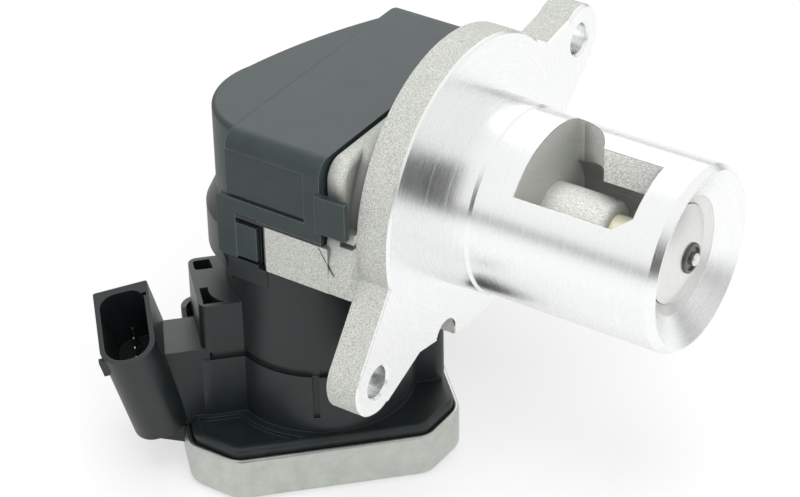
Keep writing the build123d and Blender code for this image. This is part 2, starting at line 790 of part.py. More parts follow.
def drive_shell():
    """Barrel and tower, in two shells with a groove between them."""
    stages = ((barrel_low - 1, step_low, 0.0, sill_out, sill_back, sill_corner),
              (step_low, step_high, step_depth, 0.0, 0.0, tower_corner),
              (step_high, tower_top, 0.0, 0.0, 0.0, tower_corner))
    body = z_cylinder(barrel_r, motor_x, motor_y, tower_top, barrel_top)
    for low, high, inset, out, back, corner in stages:
        plan = tower_face(out, back, corner, inset) + Pos(motor_p, motor_q) * Circle(barrel_r - inset)
        body += extrude(diagonal(low) * plan, amount=high - low)
    lip = tower_face(sill_out, sill_back, sill_corner, 0.0)
    lip -= tower_face(sill_out, sill_back, sill_corner, lip_t)
    near = motor_q - tower_front + sill_corner
    far = motor_q + tower_back + sill_back
    left = motor_p - tower_out - sill_out
    ramp = Plane((0, 0, 0), x_dir=(-1, 1, 0), z_dir=(1, 1, 0))
    slope = make_face(Polyline((near, step_low), (far, step_low), (far, lip_top),
                               (far - sill_corner, lip_top), close=True))
    wall = extrude(diagonal(step_low) * lip, amount=lip_top - step_low)
    return body + (wall & extrude(ramp.offset(left) * slope, amount=sill_corner))


def tower_pockets():
    """Two open pockets in the tower's top, with a solid web between them."""
    left = motor_p - tower_out + tower_wall
    near = motor_q - tower_front + tower_wall
    far = motor_q + tower_back - tower_wall
    web_low = motor_q + web_q0
    web_high = motor_q + web_q1
    back = make_face(Polyline((left, web_high), (left + 4.8, web_high), (left + 4.4, far), (left, far),
                              close=True))
    back = fillet(back.vertices().sort_by(Axis.X)[:2], 0.9)
    front = make_face([Line((left + 6.0, near), (left, near)), Line((left, near), (left, web_low)),
                       Line((left, web_low), (left + 2.2, web_low)),
                       ThreePointArc((left + 2.2, web_low), (left + 2.9, near + 3.0), (left + 6.0, near))])
    return extrude(diagonal(tower_top) * (back + front), amount=-tower_pocket)


def shoulder():
    """Square corner of the housing behind the cover's column, run out into the barrel."""
    left = band_x0 - skirt_out
    right = motor_x
    back = cradle_front + 8.0
    high = [(left, cradle_front), (right, cradle_front), (right, back), (left, back)]
    low = [(left, cradle_front + shoulder_in), (right, cradle_front + 1.0), (right, back), (left, back)]
    top = tongue_low - cast_gap
    faces = [Pos(0, 0, z) * make_face(Polyline(*points, close=True)) for z, points in ((top, high),
                                                                                       (shoulder_low, low))]
    solid = loft(faces)
    edge = solid.edges().filter_by(lambda e: abs(e.tangent_at(0.5).Z) > 0.5).sort_by(Axis.X)[:2]
    return fillet(edge.sort_by(Axis.Y)[0], 1.6)


def motor_housing():
    """Plastic housing: motor barrel, deck under the gears, lead tower, and connector."""
    body = drive_shell() - tower_pockets()
    boss = diagonal_block((motor_p, motor_p + boss_out), (motor_q - boss_half, motor_q + boss_half),
                          (barrel_low - 1, boss_top))
    body += fillet(boss.edges().filter_by(Axis.Z), 3.0)
    deck = (lobe_face() + band_face()) & Pos(cradle_x - cast_gap - 50, 0) * Rectangle(100, 120)
    body += extrude(Pos(0, 0, barrel_top - 5) * deck, amount=cradle_top - barrel_top + 5)
    skirt = offset(lobe_face(), skirt_out, kind=Kind.INTERSECTION)
    body += extrude(Pos(0, 0, barrel_top - 5) * skirt, amount=lead_low - barrel_top + 5)
    body += loft([Pos(0, 0, lead_low) * skirt.face(), Pos(0, 0, lead_high) * lobe_face().face()])
    body += z_cylinder(lobe_r + skirt_out, lobe_x, lobe_y, skirt_low, barrel_top)
    body += shoulder()
    body += z_cylinder(bearing_boss_r, motor_x, motor_y, barrel_top, cradle_top)

    body += motor_deck()
    body -= z_cylinder(can_r + 0.2, motor_x, motor_y, barrel_low - 5, can_top)
    body -= z_cylinder(bearing_r, motor_x, motor_y, can_top, can_top + bearing_len)
    body -= z_cylinder(motor_shaft_r + 0.6, motor_x, motor_y, can_top, cradle_top)
    body -= z_cylinder(output_bush_r, output_x, output_y, -8.0, cradle_top)
    body -= z_cylinder(idler_axle_r, idler_x, idler_y, -7.0, cradle_top)
    channel = crosshead_half + 0.3
    body -= block((crosshead_x0 - 0.3, cradle_x), (-channel, channel), (-crosshead_low - 0.4, cradle_top))
    front = cradle_front
    body -= block((band_x0 - skirt_out - cast_gap, cradle_x), (front - 1, front + tongue_t + cast_gap),
                  (tongue_low - cast_gap, cradle_top))
    body -= block((cradle_x - cradle_step - cast_gap, cradle_x),
                  (front - 1, front + 2 * cradle_step + cast_gap), (cradle_low - cast_gap, cradle_top))
    slot = radians(slot_angle)
    reach = barrel_r - slot_depth
    cut = Pos(motor_x + reach * cos(slot), motor_y + reach * sin(slot), slot_low)
    body -= cut * Rot(0, 0, slot_angle) * Box(2 * slot_depth, slot_w, step_low - slot_low + slot_depth,
                                              align=(Align.MIN, Align.CENTER, Align.MIN))
    body += connector_body()
    return body - connector_cavity() - connector_pins()


def motor_deck():
    """Plate that closes the cap, with a rounded rim and a shallow sink beside the tower."""
    plan = base_outline(cap_wall + 0.2)
    plate = extrude(diagonal(barrel_low - plug_depth) * plan, amount=plug_depth)
    plate = fillet(plate.edges().group_by(Axis.Z)[-1], deck_round)
    sink = base_outline(cap_wall + deck_rim) - Pos(motor_p, motor_q) * Circle(barrel_r + deck_rim)
    sink -= tower_face(sill_out, sill_back, sill_corner, -deck_rim / 2)
    sink &= Pos(motor_p - tower_out / 2 - 4.0, motor_q - cap_half / 2) * Rectangle(tower_out, cap_half)
    return plate - extrude(diagonal(barrel_low) * sink, amount=-deck_sink)


def plug_plane(depth):
    """Plane square to the connector's pull direction, the given depth below its mouth."""
    origin = Vector(*plug_centre) - Vector(*plug_dir).normalized() * depth
    return Plane(origin, x_dir=plug_long, z_dir=plug_dir)


def plug_face(inset):
    half_l = plug_l / 2 - inset
    half_w = plug_w / 2 - inset
    face = Rectangle(2 * half_l, 2 * half_w)
    corners = face.vertices().sort_by(Axis.X)
    face = fillet(corners[2:], plug_front_r - inset / 2)
    return fillet(face.vertices().sort_by(Axis.X)[:2], plug_back_r)


def mouth_face():
    """Section of the cavity: rounder at its back corners than the shroud."""
    half_w = plug_w / 2 - plug_wall
    ahead = plug_l / 2 - plug_front_wall
    behind = -plug_l / 2 + plug_back_wall
    face = Pos((ahead + behind) / 2, 0) * Rectangle(ahead - behind, 2 * half_w)
    corners = face.vertices().sort_by(Axis.X)
    face = fillet(corners[2:], plug_front_r - 0.4)
    return fillet(face.vertices().sort_by(Axis.X)[:2], mouth_back_r)


def connector_body():
    """Shroud, the small catch beside its mouth, and the neck that carries it."""
    shroud = extrude(plug_plane(plug_h) * plug_face(0.0), amount=plug_h)
    catch = plug_plane(catch_low) * Pos(catch_place - 1.5, -plug_w / 2) * Rectangle(catch_w, 2 * catch_out)
    shroud += extrude(catch, amount=catch_low - catch_high)
    wall = motor_p - tower_out + 2.0
    cap_side = cap_p0 - cast_gap
    plan = [(-84.0, neck_top), (wall, neck_top), (wall, cap_high + cast_gap),
            (cap_side, cap_high + cast_gap), (cap_side, foot_low), (cap_side - 6.8, foot_low + 2.3)]
    side = Plane((0, 0, 0), x_dir=(1, 1, 0), z_dir=(1, -1, 0))
    near = motor_q - tower_front + 0.6
    neck = extrude(side.offset(-near) * make_face(Polyline(*plan, close=True)), amount=near - neck_back)
    return shroud + neck


def connector_cavity():
    """Space for the plug, with a keyway beside its back corner."""
    hole = extrude(plug_plane(plug_depth_in) * mouth_face(), amount=plug_depth_in + 1)
    key = plug_plane(key_deep) * Pos(key_place, plug_w / 2 - plug_wall) * Rectangle(key_w, plug_wall)
    return hole + extrude(key, amount=key_deep + 1)


def connector_pins():
    """Flat terminals standing in the connector."""
    pins = []
    for i in range(pin_count):
        offset_x = (i - (pin_count - 1) / 2) * pin_pitch
        face = plug_plane(plug_depth_in + pin_root) * Pos(offset_x, 0) * Rectangle(pin_w, pin_t)
        pins.append(extrude(face, amount=pin_len + pin_root))
    return Compound(children=pins)


def base_cap():
    """Pressed metal tray under the motor."""
    tray = extrude(diagonal(cap_low) * base_outline(0.0), amount=cap_high - cap_low)
    tray = fillet(tray.edges().group_by(Axis.Z)[0], cap_round)
    inner = extrude(diagonal(cap_low + cap_floor) * base_outline(cap_wall), amount=cap_high - cap_low)
    return tray - inner


def sensor_magnet():
    return z_cylinder(output_hub_r, output_x, output_y, spring_top + 0.4, spring_top + 2.0)


def sensor_board():
    low = band_top - cover_wall - 1.0
    return block((output_x - board_x[0], output_x + board_x[1]),
                 (output_y - board_y[0], output_y + board_y[1]), (low, low + 1.0))


nodes = {
    "valve_body": valve_body, "guide_bush": guide_bush, "rear_bush": rear_bush, "stem_seal": stem_seal,
    "seat_ring": seat_ring, "valve_stem": valve_stem, "valve_disc": valve_disc, "disc_washer": disc_washer,
    "crosshead": crosshead, "follower_pin": follower_pin, "output_gear": output_gear,
    "output_shaft": output_shaft, "output_bush": output_bush, "return_spring": return_spring,
    "idler_gear": idler_gear, "idler_axle": idler_axle, "motor_pinion": motor_pinion,
    "rotor_shaft": rotor_shaft, "rotor_core": rotor_core, "commutator": commutator, "motor_can": motor_can,
    "motor_magnets": motor_magnets, "motor_bearings": motor_bearings, "brush_plate": brush_plate,
    "gear_cover": gear_cover, "cover_gasket": cover_gasket, "motor_housing": motor_housing,
    "connector_pins": connector_pins, "base_cap": base_cap, "sensor_magnet": sensor_magnet,
    "sensor_board": sensor_board,
}

os.makedirs("parts", exist_ok=True)
for name, make in nodes.items():
    export_step(make(), f"parts/{name}.step")
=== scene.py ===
import math

import bmesh
import bpy
from mathutils import Matrix, Vector


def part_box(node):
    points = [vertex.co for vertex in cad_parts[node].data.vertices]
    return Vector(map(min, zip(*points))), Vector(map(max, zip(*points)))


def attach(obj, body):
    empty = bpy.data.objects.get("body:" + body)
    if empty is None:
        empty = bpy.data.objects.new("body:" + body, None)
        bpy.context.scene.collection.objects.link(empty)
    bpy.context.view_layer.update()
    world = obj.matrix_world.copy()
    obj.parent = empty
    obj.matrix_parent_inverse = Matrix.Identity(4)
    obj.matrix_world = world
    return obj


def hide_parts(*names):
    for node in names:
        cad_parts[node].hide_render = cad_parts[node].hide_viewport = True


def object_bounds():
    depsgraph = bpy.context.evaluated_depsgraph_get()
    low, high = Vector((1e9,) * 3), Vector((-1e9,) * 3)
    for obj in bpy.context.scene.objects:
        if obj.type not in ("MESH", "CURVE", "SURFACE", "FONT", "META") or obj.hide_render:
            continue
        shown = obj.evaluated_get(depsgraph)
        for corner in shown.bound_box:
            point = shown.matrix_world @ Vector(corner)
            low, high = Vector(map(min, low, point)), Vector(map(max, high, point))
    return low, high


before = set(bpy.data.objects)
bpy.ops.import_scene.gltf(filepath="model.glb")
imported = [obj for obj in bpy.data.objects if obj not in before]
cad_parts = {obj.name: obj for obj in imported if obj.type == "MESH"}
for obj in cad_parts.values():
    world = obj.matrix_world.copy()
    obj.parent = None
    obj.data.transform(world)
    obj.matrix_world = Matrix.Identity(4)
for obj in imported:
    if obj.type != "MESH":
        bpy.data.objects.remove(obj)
size_of_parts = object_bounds()
mm = 0.001

# Camera that the proportions were worked out with: its place in metres, its lens in millimetres
camera_place = (0.325308, -0.516820, 0.385585)
camera_right = Vector((0.834546, 0.550676, -0.016987))
camera_ahead = Vector((-0.467096, 0.690857, -0.551850))
camera_lens = 127.656

# Where the finishes, the painted shade and the painted light on the casting start and end along the nose,
# in millimetres
turned_start = -0.65
mouth_start = 56.6
port_wall = 22.8
flange_back = -9.4

# Radii that hold the turned and the drilled finish, and the (y, z) of the bolt holes, in millimetres
turned_r = 24.2
drilled_r = 4.6
bolt_holes = ((-46.6, -32.8), (50.7, 18.7))

# Pressed cap, in millimetres: its plan lies on axes turned 45 degrees about Z
cap_centre = (-42.25, 12.37)
cap_half_long = 36.25
cap_half_wide = 28.8
cap_cut = 10.4
cap_corner_r = 7.0
cap_edge_r = 3.0
cap_lip_r = 0.7

# Connector, in millimetres: middle of its mouth, the ways of its pull and of its row, its terminals
plug_mouth = (-68.0, -62.0, -31.0)
plug_pull = (0.0, -0.33, 0.944)
plug_row = (0.658, -0.712, -0.245)
terminal_depth = 23.0
terminal_count = 5
terminal_pitch = 3.3

# Seam on the cast front, in millimetres: x, z and half its width, from the cover's corner down
seam_path = [(-18.7, -0.2, 0.16), (-16.5, -3.8, 0.16), (-15.2, -6.0, 0.12), (-14.2, -7.45, 0.04)]
seam_face = -44.1
seam_proud = 0.14
seam_root = 0.4


def view_camera():
    """Camera of the main view."""
    above = camera_right.cross(camera_ahead)
    data = bpy.data.cameras.new("camera")
    data.sensor_width = 36.0
    data.lens = camera_lens
    data.clip_start = 0.05
    data.clip_end = 20.0
    camera = bpy.data.objects.new("camera", data)
    turn = Matrix((camera_right, above, -camera_ahead)).transposed().to_4x4()
    camera.matrix_world = Matrix.Translation(camera_place) @ turn
    bpy.context.collection.objects.link(camera)
    bpy.context.scene.camera = camera


def math_node(tree, operation, *values):
    """Math node whose inputs are numbers or sockets."""
    node = tree.nodes.new("ShaderNodeMath")
    node.operation = operation
    for slot, value in zip(node.inputs, values):
        if isinstance(value, (int, float)):
            slot.default_value = value
        else:
            tree.links.new(value, slot)
    return node.outputs[0]


def area_light(name, place, size, power, mirrored=True):
    """Round soft lamp that looks at the object; one that isn't mirrored stays out of polished metal."""
    data = bpy.data.lights.new(name, "AREA")
    data.shape = "DISK"
    data.size = size
    data.energy = power
    lamp = bpy.data.objects.new(name, data)
    lamp.location = place
    lamp.rotation_euler = (-Vector(place)).to_track_quat("-Z", "Y").to_euler()
    lamp.visible_glossy = mirrored
    bpy.context.collection.objects.link(lamp)


def stage_sheet(name, corners, faces, material):
    """Thin sheet of the studio, which is no part of the object."""
    mesh = bpy.data.meshes.new(name)
    mesh.from_pydata(corners, [], faces)
    mesh.materials.append(material)
    sheet = bpy.data.objects.new(name, mesh)
    bpy.context.collection.objects.link(sheet)
    return sheet


def dark_paper(name, shade):
    """Matt material of one grey, for a card of the studio."""
    material = bpy.data.materials.new(name)
    material.use_nodes = True
    shader = material.node_tree.nodes["Principled BSDF"]
    shader.inputs["Base Color"].default_value = (shade, shade, shade, 1.0)
    shader.inputs["Roughness"].default_value = 1.0
    return material


def only_mirrored(card):
    """Let a card show in polished metal and nowhere else."""
    card.visible_camera = False
    card.visible_diffuse = False
    card.visible_shadow = False


def tall_card():
    """Black card behind the camera, which draws the dark streak along the nose."""
    left = (0.25, -1.30)
    right = (1.05, -0.80)
    low = -0.05
    high = 1.35
    corners = [(*left, low), (*right, low), (*right, high), (*left, high)]
    only_mirrored(stage_sheet("tall card", corners, [(0, 1, 2, 3)], dark_paper("black card", 0.02)))


def grey_band():
    """Low grey band all round the table, which gives polished metal a horizon."""
    sides = 36
    distance = 1.6
    low = -0.03
    high = 0.24
    corners = []
    for i in range(sides):
        turn = 2 * math.pi * i / sides
        place = (distance * math.cos(turn), distance * math.sin(turn))
        corners += [(*place, low), (*place, high)]
    faces = []
    for i in range(sides):
        after = (i + 1) % sides
        faces.append((2 * i, 2 * i + 1, 2 * after + 1, 2 * after))
    only_mirrored(stage_sheet("grey band", corners, faces, dark_paper("grey card", 0.45)))


def studio():
    """Pale floor, pale world, two cards and five soft lamps."""
    low = size_of_parts[0][2]
    half = 6.0
    corners = [(-half, -half, low), (half, -half, low), (half, half, low), (-half, half, low)]
    stage_sheet("floor", corners, [(0, 1, 2, 3)], floor_material())
    tall_card()
    grey_band()

    world = bpy.data.worlds.new("studio")
    bpy.context.scene.world = world
    world.use_nodes = True
    tree = world.node_tree
    sky = tree.nodes["Background"]
    sky.inputs["Color"].default_value = (1.0, 1.0, 1.0, 1.0)
    path = tree.nodes.new("ShaderNodeLightPath")
    seen = math_node(tree, "MAXIMUM", path.outputs["Is Camera Ray"], path.outputs["Is Glossy Ray"])
    seen = math_node(tree, "MAXIMUM", seen, path.outputs["Is Transmission Ray"])
    level = tree.nodes.new("ShaderNodeMapRange")
    level.inputs["To Min"].default_value = 0.45
    level.inputs["To Max"].default_value = 1.0
    tree.links.new(seen, level.inputs["Value"])
    tree.links.new(level.outputs["Result"], sky.inputs["Strength"])

    area_light("key", (0.75, -0.85, 0.85), 0.9, 8.0, mirrored=False)
    area_light("front", (-0.60, -0.95, 0.40), 0.8, 1.5, mirrored=False)
    area_light("above", (0.10, -0.20, 1.15), 1.0, 8.0, mirrored=False)
    area_light("back", (-0.50, 0.80, 0.70), 1.1, 4.0)
    area_light("right", (0.90, -0.10, 0.25), 0.6, 1.8, mirrored=False)


def floor_material():
    """White floor that still takes the shadow."""
    material = bpy.data.materials.new("floor")
    material.use_nodes = True
    tree = material.node_tree
    tree.nodes.clear()
    out = tree.nodes.new("ShaderNodeOutputMaterial")
    matt = tree.nodes.new("ShaderNodeBsdfDiffuse")
    matt.inputs["Color"].default_value = (0.86, 0.86, 0.86, 1.0)
    glow_share = 0.52
    white = tree.nodes.new("ShaderNodeEmission")
    white.inputs["Strength"].default_value = 1.0
    path = tree.nodes.new("ShaderNodeLightPath")
    seen = math_node(tree, "MAXIMUM", path.outputs["Is Camera Ray"], path.outputs["Is Glossy Ray"])
    mix = tree.nodes.new("ShaderNodeMixShader")
    tree.links.new(math_node(tree, "MULTIPLY", seen, glow_share), mix.inputs["Fac"])
    tree.links.new(matt.outputs[0], mix.inputs[1])
    tree.links.new(white.outputs[0], mix.inputs[2])
    tree.links.new(mix.outputs[0], out.inputs["Surface"])
    return material


def new_group(name, ins, outs):
    """Empty shader node group with float inputs and outputs of the given types."""
    group = bpy.data.node_groups.new(name, "ShaderNodeTree")
    for label, value in ins.items():
        socket = group.interface.new_socket(label, in_out="INPUT", socket_type="NodeSocketFloat")
        socket.default_value = value
    for label, kind in outs.items():
        group.interface.new_socket(label, in_out="OUTPUT", socket_type=kind)
    return group, group.nodes.new("NodeGroupInput"), group.nodes.new("NodeGroupOutput")


def noise_node(tree, scale, detail=3.0, rough=0.5):
    """Noise on object coordinates; the scale is a number or a socket."""
    where = tree.nodes.new("ShaderNodeTexCoord")
    noise = tree.nodes.new("ShaderNodeTexNoise")
    noise.inputs["Detail"].default_value = detail
    noise.inputs["Roughness"].default_value = rough
    if isinstance(scale, (int, float)):
        noise.inputs["Scale"].default_value = scale
    else:
        tree.links.new(scale, noise.inputs["Scale"])
    tree.links.new(where.outputs["Object"], noise.inputs["Vector"])
    return noise.outputs["Fac"]


def grain_group():
    """Fine relief of a mould or of sand: height and a speckle mask."""
    group, ins, outs = new_group("surface grain", {"Scale": 2500.0, "Coarse": 0.35},
                                 {"Height": "NodeSocketFloat", "Speckle": "NodeSocketFloat"})
    slow_share = 0.22
    speckle_level = 0.66
    fine = noise_node(group, ins.outputs["Scale"], 2.0, 0.6)
    slow = noise_node(group, math_node(group, "MULTIPLY", ins.outputs["Scale"], slow_share), 2.0, 0.5)
    rest = math_node(group, "SUBTRACT", 1.0, ins.outputs["Coarse"])
    mixed = math_node(group, "ADD", math_node(group, "MULTIPLY", fine, rest),
                      math_node(group, "MULTIPLY", slow, ins.outputs["Coarse"]))
    group.links.new(mixed, outs.inputs["Height"])
    spots = math_node(group, "GREATER_THAN", fine, speckle_level)
    group.links.new(math_node(group, "MULTIPLY", spots, slow), outs.inputs["Speckle"])
    return group


def turned_group():
    """Fine rings of a lathe tool about the nose axis, on cylinders and on faces alike."""
    group, ins, outs = new_group("turning marks", {"Pitch": 0.00022},
                                 {"Height": "NodeSocketFloat", "Streak": "NodeSocketFloat",
                                  "Radius": "NodeSocketFloat", "Along": "NodeSocketFloat"})
    wave_share = 0.25
    streak_stretch = 0.0015
    where = group.nodes.new("ShaderNodeTexCoord")
    apart = group.nodes.new("ShaderNodeSeparateXYZ")
    group.links.new(where.outputs["Object"], apart.inputs[0])
    square = math_node(group, "ADD", math_node(group, "MULTIPLY", apart.outputs["Y"], apart.outputs["Y"]),
                       math_node(group, "MULTIPLY", apart.outputs["Z"], apart.outputs["Z"]))
    radius = math_node(group, "SQRT", square)
    path = math_node(group, "ADD", radius, apart.outputs["X"])
    turns = math_node(group, "DIVIDE", path, ins.outputs["Pitch"])
    wave = math_node(group, "SINE", math_node(group, "MULTIPLY", turns, 2 * math.pi))
    uneven = group.nodes.new("ShaderNodeTexNoise")
    uneven.noise_dimensions = "1D"
    uneven.inputs["Scale"].default_value = 1800.0
    uneven.inputs["Detail"].default_value = 2.0
    group.links.new(path, uneven.inputs["W"])
    even = math_node(group, "MULTIPLY", wave, wave_share)
    height = math_node(group, "ADD", even, uneven.outputs["Fac"])
    group.links.new(height, outs.inputs["Height"])
    turn = math_node(group, "ARCTAN2", apart.outputs["Z"], apart.outputs["Y"])
    ring = group.nodes.new("ShaderNodeCombineXYZ")
    group.links.new(path, ring.inputs["X"])
    group.links.new(math_node(group, "MULTIPLY", turn, streak_stretch), ring.inputs["Y"])
    brushed = group.nodes.new("ShaderNodeTexNoise")
    brushed.inputs["Scale"].default_value = 1100.0
    brushed.inputs["Detail"].default_value = 4.0
    brushed.inputs["Roughness"].default_value = 0.65
    group.links.new(ring.outputs["Vector"], brushed.inputs["Vector"])
    group.links.new(brushed.outputs["Fac"], outs.inputs["Streak"])
    group.links.new(radius, outs.inputs["Radius"])
    group.links.new(apart.outputs["X"], outs.inputs["Along"])
    return group


def painted_edge_highlight_group():
    """Mask that rises along the edges, broken up in patches, for a painted edge highlight."""
    group, ins, outs = new_group("painted edge highlight", {"Width": 0.0004, "Amount": 1.0},
                                 {"Mask": "NodeSocketFloat"})
    rounded = group.nodes.new("ShaderNodeBevel")
    rounded.samples = 4
    group.links.new(ins.outputs["Width"], rounded.inputs["Radius"])
    shape = group.nodes.new("ShaderNodeNewGeometry")
    along = group.nodes.new("ShaderNodeVectorMath")
    along.operation = "DOT_PRODUCT"
    group.links.new(rounded.outputs["Normal"], along.inputs[0])
    group.links.new(shape.outputs["Normal"], along.inputs[1])
    turned_away = math_node(group, "SUBTRACT", 1.0, along.outputs["Value"])
    steepness = 9.0
    patches = noise_node(group, 700.0, 3.0, 0.6)
    edge = math_node(group, "MULTIPLY", turned_away, math_node(group, "MULTIPLY", patches, steepness))
    mask = math_node(group, "MINIMUM", math_node(group, "MULTIPLY", edge, ins.outputs["Amount"]), 1.0)
    group.links.new(mask, outs.inputs["Mask"])
    return group


grain = grain_group()
turned = turned_group()
painted_edge_highlight = painted_edge_highlight_group()


def placed(tree, group, **values):
    """Node group put into a material, with its inputs set."""
    node = tree.nodes.new("ShaderNodeGroup")
    node.node_tree = group
    for label, value in values.items():
        node.inputs[label].default_value = value
    return node


def start_material(name, metallic, roughness):
    """Material, its tree and its main shader."""
    material = bpy.data.materials.new(name)
    material.use_nodes = True
    tree = material.node_tree
    shader = tree.nodes["Principled BSDF"]
    shader.inputs["Metallic"].default_value = metallic
    shader.inputs["Roughness"].default_value = roughness
    return material, tree, shader


def two_colours(tree, mask, dark, light, low=0.3, high=0.7):
    """Blend of two colours by a mask."""
    ramp = tree.nodes.new("ShaderNodeValToRGB")
    ramp.color_ramp.elements[0].position = low
    ramp.color_ramp.elements[1].position = high
    ramp.color_ramp.elements[0].color = (*dark, 1.0)
    ramp.color_ramp.elements[1].color = (*light, 1.0)
    tree.links.new(mask, ramp.inputs["Fac"])
    return ramp.outputs["Color"]


def mixed(tree, mask, under, over):
    """Colour socket under, with a colour or a colour socket laid over it where the mask is 1."""
    mix = tree.nodes.new("ShaderNodeMix")
    mix.data_type = "RGBA"
    tree.links.new(mask, mix.inputs["Factor"])
    tree.links.new(under, mix.inputs["A"])
    if isinstance(over, tuple):
        mix.inputs["B"].default_value = (*over, 1.0)
    else:
        tree.links.new(over, mix.inputs["B"])
    return mix.outputs["Result"]


def relief(tree, shader, height, distance, strength=1.0, soft_edge=0.0003):
    """Bump over a softened edge."""
    edge = tree.nodes.new("ShaderNodeBevel")
    edge.samples = 4
    edge.inputs["Radius"].default_value = soft_edge
    bump = tree.nodes.new("ShaderNodeBump")
    bump.inputs["Strength"].default_value = strength
    bump.inputs["Distance"].default_value = distance
    tree.links.new(height, bump.inputs["Height"])
    tree.links.new(edge.outputs["Normal"], bump.inputs["Normal"])
    tree.links.new(bump.outputs["Normal"], shader.inputs["Normal"])


def moulded_plastic(name, colour, roughness, scale, depth, edge_highlight=0.6):
    """Moulded plastic: clouded tone, fine grain and a painted highlight that makes the edges a little
    lighter.
    """
    material, tree, shader = start_material(name, 0.0, roughness)
    skin = placed(tree, grain, Scale=scale, Coarse=0.3)
    edges = placed(tree, painted_edge_highlight, Width=0.0005, Amount=edge_highlight)
    cloud = noise_node(tree, 140.0, 5.0, 0.65)
    dark = tuple(c * 0.80 for c in colour)
    light = tuple(c * 1.20 for c in colour)
    # Painted highlight colour laid along the edges
    highlight_colour = tuple(min(1.0, c * 2.0 + 0.09) for c in colour)
    base = two_colours(tree, cloud, dark, light)
    tree.links.new(mixed(tree, edges.outputs["Mask"], base, highlight_colour), shader.inputs["Base Color"])
    rough = math_node(tree, "MULTIPLY_ADD", cloud, 0.16, roughness - 0.08)
    rough = math_node(tree, "MULTIPLY_ADD", skin.outputs["Speckle"], 0.10, rough)
    tree.links.new(rough, shader.inputs["Roughness"])
    relief(tree, shader, skin.outputs["Height"], depth)
    return material


def plain_metal(name, colour, roughness, scale=1500.0, depth=0.00001, edge_highlight=0.0, blotch=0.06, metallic=1.0):
    """Metal with a clouded tone, and a painted highlight that makes the edges brighter where asked for."""
    material, tree, shader = start_material(name, metallic, roughness)
    skin = placed(tree, grain, Scale=scale, Coarse=0.5)
    edges = placed(tree, painted_edge_highlight, Width=0.0006, Amount=edge_highlight)
    cloud = noise_node(tree, 260.0, 5.0, 0.65)
    dark = tuple(c * (1.0 - blotch) for c in colour)
    light = tuple(min(1.0, c * (1.0 + blotch)) for c in colour)
    # Painted highlight colour laid along the edges
    bright = tuple(min(1.0, c * 1.5) for c in colour)
    base = two_colours(tree, cloud, dark, light)
    tree.links.new(mixed(tree, edges.outputs["Mask"], base, bright), shader.inputs["Base Color"])
    rough = math_node(tree, "MULTIPLY_ADD", cloud, 0.14, roughness - 0.07)
    tree.links.new(rough, shader.inputs["Roughness"])
    relief(tree, shader, skin.outputs["Height"], depth)
    return material


def turned_metal(name, colour, roughness):
    """Metal turned on a lathe: rings in its relief and streaks in its tone."""
    material, tree, shader = start_material(name, 1.0, roughness)
    marks = placed(tree, turned, Pitch=0.00025)
    dark = tuple(c * 0.93 for c in colour)
    tree.links.new(two_colours(tree, marks.outputs["Streak"], dark, colour), shader.inputs["Base Color"])
    rough = math_node(tree, "MULTIPLY_ADD", marks.outputs["Streak"], 0.10, roughness - 0.05)
    tree.links.new(rough, shader.inputs["Roughness"])
    relief(tree, shader, marks.outputs["Height"], 0.000006, 0.8, 0.0002)
    return material


def drilled_holes(tree):
    """Mask of the flange's two bolt holes, by the distance from their axes."""
    where = tree.nodes.new("ShaderNodeTexCoord")
    apart = tree.nodes.new("ShaderNodeSeparateXYZ")
    tree.links.new(where.outputs["Object"], apart.inputs[0])
    masks = []
    for y, z in bolt_holes:
        across = math_node(tree, "SUBTRACT", apart.outputs["Y"], y * mm)
        up = math_node(tree, "SUBTRACT", apart.outputs["Z"], z * mm)
        square = math_node(tree, "MULTIPLY_ADD", across, across, math_node(tree, "MULTIPLY", up, up))
        masks.append(math_node(tree, "LESS_THAN", math_node(tree, "SQRT", square), drilled_r * mm))
    return math_node(tree, "MAXIMUM", *masks)


def recess_painted_shade(tree, sand, behind, inside):
    """Mask of grainy painted shade behind the flange and inside the nose, where it is less open than a
    limit.
    """
    reach = 9.0
    openness_behind = 0.94
    openness_inside = 0.73
    deepest_shade = 0.85
    hollow = tree.nodes.new("ShaderNodeAmbientOcclusion")
    hollow.samples = 6
    hollow.inputs["Distance"].default_value = reach * mm
    limit = math_node(tree, "MULTIPLY_ADD", behind, openness_behind,
                      math_node(tree, "MULTIPLY", inside, openness_inside))
    depth = math_node(tree, "MAXIMUM", math_node(tree, "SUBTRACT", limit, hollow.outputs["AO"]), 0.0)
    grainy = math_node(tree, "MULTIPLY_ADD", sand, 7.0, -1.4)
    painted_shade = math_node(tree, "MULTIPLY", depth, grainy)
    return math_node(tree, "MAXIMUM", math_node(tree, "MINIMUM", painted_shade, deepest_shade), 0.0)


